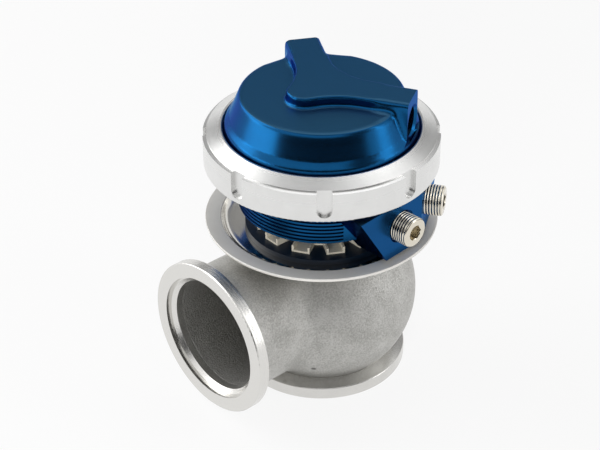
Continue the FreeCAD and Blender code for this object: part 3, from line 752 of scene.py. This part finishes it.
def boss_points():
    """Outline of the cap's boss: two arms, a round nose and hollow blends between them."""
    half, hollow, nose = ARM_HALF, FRONT_HOLLOW, NOSE
    v = half + hollow
    u = -nose / 2 + math.sqrt((half + hollow) ** 2 - (v - nose * math.sin(math.radians(120))) ** 2)
    right = Matrix.Rotation(math.radians(CAP_ARMS[0]), 2)
    centre = right @ Vector((u, -v))
    tip = Vector((0, -nose))
    to_arm = right @ Vector((0, 1))
    to_nose = (tip - centre).normalized()
    turn = to_arm.angle_signed(to_nose)
    side = [centre + hollow * (Matrix.Rotation(-turn * i / 16, 2) @ to_arm) for i in range(17)]
    start = math.atan2(side[-1].y - tip.y, side[-1].x - tip.x)
    arc = -math.pi / 2 - start
    angles = [start + arc * i / 10 for i in range(1, 11)]
    round_nose = [tip + half * Vector((math.cos(angle), math.sin(angle))) for angle in angles]
    arm_end = [right @ Vector((ROUGH_ARM, half)), right @ Vector((ROUGH_ARM, -half))]
    back_corner = (0, half / math.sin(math.radians(60)))
    left_end = (-arm_end[0].x, arm_end[0].y)
    back = corner_points(left_end, back_corner, arm_end[0], BACK_HOLLOW, 12)
    back = [point for point in back if point.x > MERGE]
    right_half = back + arm_end + side + round_nose[:-1]
    left_half = [Vector((-point.x, point.y)) for point in reversed(right_half)]
    return [point * MM for point in right_half + [round_nose[-1]] + left_half]


def pull(distance):
    """All of a distance under 0.05 mm, none of one over 0.17 mm, and a share between them."""
    fade = min(max((abs(distance) / MM - 0.05) / 0.12, 0), 1)
    return distance * (1 - fade * fade * (3 - 2 * fade))


def true_up(piece, foot, top, disc, boss_top):
    """Moves points that are nearly on the cap's cone, disc or boss exactly onto it."""
    for vertex in piece.data.vertices:
        co = vertex.co
        r = math.hypot(co.x, co.y)
        if foot.y < co.z < top:
            gap = foot.x - CAP_TAPER * (co.z - foot.y) - r
            share = 1 + pull(gap) / r
            co.x, co.y = co.x * share, co.y * share
        if r < DISC_R:
            co.z += pull(disc - co.z)
        co.z += pull(boss_top - co.z)


def mark_blends(piece, foot):
    """Vertex group of the hollows between the cap's cone and the sides of the boss's arms."""
    blends = piece.vertex_groups.new(name="rib blends")
    for vertex in piece.data.vertices:
        co = vertex.co
        over = co.z - foot - BLEND_FROM
        for azimuth in CAP_ARMS:
            a = math.radians(azimuth)
            past = co.x * math.cos(a) + co.y * math.sin(a) - BLEND_REACH
            across = abs(co.y * math.cos(a) - co.x * math.sin(a))
            weight = min((across - BLEND_NEAR) / (2 * MM), (BLEND_FAR - across) / (3 * MM),
                         past / (4 * MM), over / (2 * MM), 1)
            if weight > 0:
                blends.add([vertex.index], weight, "REPLACE")
    return blends


def machined_cap(material):
    """Cap with its boss milled into the cone: soft hollow blends, crisp arm ends and open ports."""
    low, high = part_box("cap")
    z0 = low.z / MM
    disc = z0 + CAP_DISC
    wall_foot = Vector((CAP_WALL_FOOT[0], z0 + CAP_WALL_FOOT[1]))
    rim_r = wall_foot.x - CAP_TAPER * (disc - wall_foot.y)
    chamber_r, roof = CAP_CHAMBER[0], z0 + CAP_CHAMBER[1]
    flange_r, flange = CAP_FLANGE[0], z0 + CAP_FLANGE[1]
    neck_r, neck = CAP_NECK[0], z0 + CAP_NECK[1]
    piece = spun("cap_machined", [
        (chamber_r, z0, 0), (flange_r, z0, 0.4), (flange_r, flange, 0.4), (neck_r, flange, 0),
        (neck_r, neck, 0.6), (wall_foot.x, wall_foot.y, 3.5), (rim_r, disc, 1.0), (0, disc, 0),
        (0, roof, 0), (chamber_r, roof, 0.5)], 180)
    boss = slab("boss", boss_points(), low.z + BOSS_FROM * MM, high.z)
    combine(piece, boss, "UNION")
    apply_modifier(piece, "REMESH", mode="VOXEL", voxel_size=0.48 * MM)
    apply_modifier(piece, "SMOOTH", factor=0.5, iterations=14)
    blends = mark_blends(piece, low.z)
    apply_modifier(piece, "SMOOTH", factor=0.5, iterations=55, vertex_group=blends.name)
    piece.vertex_groups.clear()
    true_up(piece, wall_foot * MM, (disc - 1.2) * MM, disc * MM, high.z)
    floor, ceiling = z0 + SPRING_ROOM_FLOOR, disc - CEILING
    room = spun("room", [(0, floor, 0), (SPRING_ROOM_R, floor, 0), (SPRING_ROOM_R, ceiling, 1.0),
                         (0, ceiling, 0)], 120)
    combine(piece, room, "DIFFERENCE")
    side = [Vector(corner) * MM for corner in ((-20, -14), (0, -14), (0, 14), (-20, 14))]
    for azimuth in CAP_ARMS:
        end = slab("end", side, 0, 8 * MM)     # its local -X comes to lie along +Z
        lay_outward(end, math.radians(azimuth), CAP_ARM_REACH, low.z + END_FROM)
        combine(piece, end, "DIFFERENCE")
        hole = cylinder("port", CAP_PORT_R, 10 * MM, (0, 0, -4 * MM))
        mouth = cylinder("mouth", CAP_PORT_R, 1.6 * MM, (0, 0, 0), top=CAP_PORT_R + 1.6 * MM)
        way = cylinder("way", 3 * MM, 12 * MM, (0, 0, -10 * MM))
        for tool in (hole, mouth, way):
            lay_outward(tool, math.radians(azimuth), CAP_ARM_REACH, CAP_PORT_Z)
            combine(piece, tool, "DIFFERENCE")
    finish_piece(piece, material, "cap", "cap")


class WASTEGATE_OT_gas_side(bpy.types.Operator):
    """Valve body, seat, guide and valve"""
    bl_idname = "wastegate.gas_side"
    bl_label = "Gas side"

    def execute(self, context):
        finish = context.scene.wastegate_finish
        wear("valve_body", body_material(finish))
        turned = turned_material("turned stainless", finish.turned, 0.18, 0.30)
        for node in ("inlet_flange", "valve_seat", "valve", "piston_washer", "stem_nut"):
            wear(node, turned)
        wear("valve_guide", turned_material("turned bronze", finish.bronze, 0.25, 0.40))
        return {"FINISHED"}


class WASTEGATE_OT_shield(bpy.types.Operator):
    """Heat shield, insulating ring, cooling ring and screws"""
    bl_idname = "wastegate.shield"
    bl_label = "Shield and cooler"

    def execute(self, context):
        finish = context.scene.wastegate_finish
        spun_shield(shield_material(finish))
        wear("cooler_ring", turned_material("pressed stainless sheet", finish.blade, 0.36, 0.50,
                                            0.9 * MM, metallic=0.45))
        # The insulating ring's near-black is partly painted shade on the shield's floor under the
        # housing.
        wear("insulator_ring", soft_material("insulator fibre", finish.fibre_and_painted_shade,
                                             shaded(finish.fibre_and_painted_shade, 1.25), 0.3 * MM, 0.28, 0.25))
        wear("housing_screws", turned_material("black oxide steel", finish.oxide, 0.35, 0.5))
        return {"FINISHED"}


class WASTEGATE_OT_housing(bpy.types.Operator):
    """Actuator housing, cap and locking collar"""
    bl_idname = "wastegate.housing"
    bl_label = "Housing, cap and collar"

    def execute(self, context):
        finish = context.scene.wastegate_finish
        wear("lower_housing", blue_material(finish, "blue anodised housing"))
        machined_cap(blue_material(finish, "blue anodised cap"))
        wear("locking_collar", turned_material("clear anodised collar", finish.collar, 0.22, 0.34,
                                               0.22 * MM, 0.02 * MM))
        return {"FINISHED"}


class WASTEGATE_OT_plugs(bpy.types.Operator):
    """Threaded port plugs"""
    bl_idname = "wastegate.plugs"
    bl_label = "Port plugs"

    def execute(self, context):
        sizes = context.scene.wastegate_sizes
        finish = context.scene.wastegate_finish
        nickel = turned_material("nickel plated plug", finish.nickel, 0.14, 0.26)
        port_plug("front_port_plug", FRONT_PORT_AZIMUTH, sizes, nickel)
        port_plug("side_port_plug", SIDE_PORT_AZIMUTH, sizes, nickel)
        return {"FINISHED"}


class WASTEGATE_OT_stack(bpy.types.Operator):
    """Piston, washers, seal, circlip, diaphragm and springs"""
    bl_idname = "wastegate.stack"
    bl_label = "Moving stack"

    def execute(self, context):
        finish = context.scene.wastegate_finish
        aluminium = turned_material("turned aluminium", finish.collar, 0.24, 0.38)
        for node in ("clamp_washer", "piston"):
            wear(node, aluminium)
        wire = turned_material("plated spring wire", finish.wire, 0.25, 0.40)
        wear("seal_circlip", wire)
        coil("outer_spring", *OUTER_COIL, wire)
        coil("inner_spring", *INNER_COIL, wire)
        wear("stem_seal", soft_material("seal rubber", finish.rubber, shaded(finish.rubber, 1.6),
                                        0.3 * MM, 0.55))
        rolled_diaphragm(soft_material("diaphragm rubber", finish.fabric, finish.rubber,
                                       0.5 * MM, 0.6))
        return {"FINISHED"}


class WASTEGATE_OT_studio(bpy.types.Operator):
    """Floor, room, lamps and camera"""
    bl_idname = "wastegate.studio"
    bl_label = "Studio"

    def execute(self, context):
        studio = context.scene.wastegate_studio
        make_room(studio.ambient)
        make_floor()
        make_flags()
        make_lamps(studio)
        make_camera(studio)
        context.scene.view_settings.view_transform = "Standard"
        return {"FINISHED"}


AIM = Vector((0, 0, 55 * MM))


def polar_place(distance, azimuth, elevation):
    """Point round the object: azimuth from +X towards +Y and elevation, in degrees."""
    a, e = math.radians(azimuth), math.radians(elevation)
    level = math.cos(e)
    return AIM + distance * Vector((math.cos(a) * level, math.sin(a) * level, math.sin(e)))


def aimed(origin, target):
    return (Vector(target) - Vector(origin)).to_track_quat("-Z", "Y").to_euler()


LAMPS = (
    # name, its power in the settings, width, height, distance, azimuth, elevation, seen mirrored
    ("key softbox", "key", 1.0, 1.0, 1.15, -152, 32, True),
    ("low strip", "low", 0.9, 0.6, 1.1, -122, 3, True),
    ("front fill", "fill", 0.5, 0.3, 1.0, -52, 14, False),
    ("top softbox", "top", 0.8, 0.8, 1.1, 120, 62, True),
    ("side strip", "side", 0.35, 0.9, 1.2, 38, 22, True),
)


def make_lamps(studio):
    for name, power, width, height, distance, azimuth, elevation, mirrored in LAMPS:
        light = bpy.data.lights.new(name, "AREA")
        light.shape = "RECTANGLE"
        light.size, light.size_y = width, height
        light.energy = getattr(studio, power)
        item = bpy.data.objects.new(name, light)
        bpy.context.collection.objects.link(item)
        item.location = polar_place(distance, azimuth, elevation)
        item.rotation_euler = aimed(item.location, AIM)
        item.visible_glossy = mirrored


def seen_directly(tree):
    """1 for rays of the camera and for those mirrored or passed on to it, else 0."""
    path = put(tree, "ShaderNodeLightPath")
    mirrored = calc(tree, "MAXIMUM", path.outputs["Is Glossy Ray"],
                    path.outputs["Is Transmission Ray"])
    return calc(tree, "MAXIMUM", path.outputs["Is Camera Ray"], mirrored)


def make_room(ambient):
    """White to the eye and to metal, grey as a light."""
    world = bpy.data.worlds.new("studio room")
    world.use_nodes = True
    tree = world.node_tree
    tree.nodes.clear()
    room = put(tree, "ShaderNodeBackground")
    level = blend_value(tree, seen_directly(tree), ambient, 1.0)
    room.inputs["Color"].default_value = (1, 1, 1, 1)
    feed(tree, room.inputs["Strength"], level)
    show(tree, room, "ShaderNodeOutputWorld")
    bpy.context.scene.world = world


FLOOR_GLOW = 0.84     # share of the floor that is plain white; the rest takes the shadow


def make_floor():
    clear_selection()
    bpy.ops.mesh.primitive_circle_add(vertices=96, radius=1.6, fill_type="NGON")
    floor = named("floor")
    material, tree = empty_material("white floor")
    paper = put(tree, "ShaderNodeBsdfDiffuse")
    paper.inputs["Color"].default_value = (0.86, 0.86, 0.86, 1)
    glow = put(tree, "ShaderNodeEmission")
    glow.inputs["Strength"].default_value = 1.0
    mix = put(tree, "ShaderNodeMixShader")
    feed(tree, mix.inputs[0], calc(tree, "MULTIPLY", seen_directly(tree), FLOOR_GLOW))
    tree.links.new(paper.outputs[0], mix.inputs[1])
    tree.links.new(glow.outputs[0], mix.inputs[2])
    show(tree, mix)
    floor.data.materials.append(material)


FLAG_DISTANCE = 1.35
FLAGS = (
    # name, azimuth, elevation, width, height, grey
    ("front flag", -42, 13, 3.8, 0.75, 0.02),
    ("back flag", 137, 36, 2.4, 1.0, 0.34),
    ("right flag", 15, 34, 0.9, 0.9, 0.10),
    ("overhead flag", 0, 89, 1.1, 1.1, 0.42),
)


def make_flags():
    """Cards out of the camera's sight that give the polished metal its darks."""
    for name, azimuth, elevation, width, height, grey in FLAGS:
        origin = polar_place(FLAG_DISTANCE, azimuth, elevation)
        clear_selection()
        bpy.ops.mesh.primitive_plane_add(size=1, location=origin, rotation=aimed(origin, AIM))
        flag = named(name.replace(" ", "_"))
        flag.scale = (width, height, 1)
        settle(flag)
        material, tree = empty_material(name)
        cloth = put(tree, "ShaderNodeEmission")
        cloth.inputs["Color"].default_value = (grey, grey, grey, 1)
        show(tree, cloth)
        flag.data.materials.append(material)
        flag.visible_camera = False
        flag.visible_diffuse = False
        flag.visible_shadow = False


def make_camera(studio):
    camera = bpy.data.cameras.new("camera")
    camera.lens = studio.lens
    camera.sensor_width = 36
    camera.clip_start = 0.01
    item = bpy.data.objects.new("camera", camera)
    bpy.context.collection.objects.link(item)
    item.location = studio.camera
    turn = (Vector(studio.aim) - Vector(studio.camera)).to_track_quat("-Z", "Y").to_matrix()
    item.rotation_euler = (turn @ Matrix.Rotation(studio.roll, 3, "Z")).to_euler()
    bpy.context.scene.camera = item


STEPS = (WASTEGATE_OT_gas_side, WASTEGATE_OT_shield, WASTEGATE_OT_housing, WASTEGATE_OT_plugs,
         WASTEGATE_OT_stack, WASTEGATE_OT_studio)


class WASTEGATE_PT_panel(bpy.types.Panel):
    """Steps and settings of the wastegate"""
    bl_idname = "WASTEGATE_PT_panel"
    bl_label = "Turbo wastegate"
    bl_space_type = "VIEW_3D"
    bl_region_type = "UI"
    bl_category = "Wastegate"

    def draw(self, context):
        column = self.layout.column()
        for group in (context.scene.wastegate_finish, context.scene.wastegate_sizes,
                      context.scene.wastegate_studio):
            for name in group.__annotations__:
                column.prop(group, name)
            column.separator()
        for operator in STEPS:
            column.operator(operator.bl_idname)


CLASSES = (WastegateFinish, WastegateSizes, WastegateStudio, *STEPS, WASTEGATE_PT_panel)


def register():
    for item in CLASSES:
        bpy.utils.register_class(item)
    bpy.types.Scene.wastegate_finish = PointerProperty(type=WastegateFinish)
    bpy.types.Scene.wastegate_sizes = PointerProperty(type=WastegateSizes)
    bpy.types.Scene.wastegate_studio = PointerProperty(type=WastegateStudio)


def unregister():
    del bpy.types.Scene.wastegate_studio
    del bpy.types.Scene.wastegate_sizes
    del bpy.types.Scene.wastegate_finish
    for item in reversed(CLASSES):
        bpy.utils.unregister_class(item)


def main():
    register()
    bpy.ops.wastegate.gas_side()
    bpy.ops.wastegate.shield()
    bpy.ops.wastegate.housing()
    bpy.ops.wastegate.plugs()
    bpy.ops.wastegate.stack()
    bpy.ops.wastegate.studio()


if __name__ == "__main__":
    main()
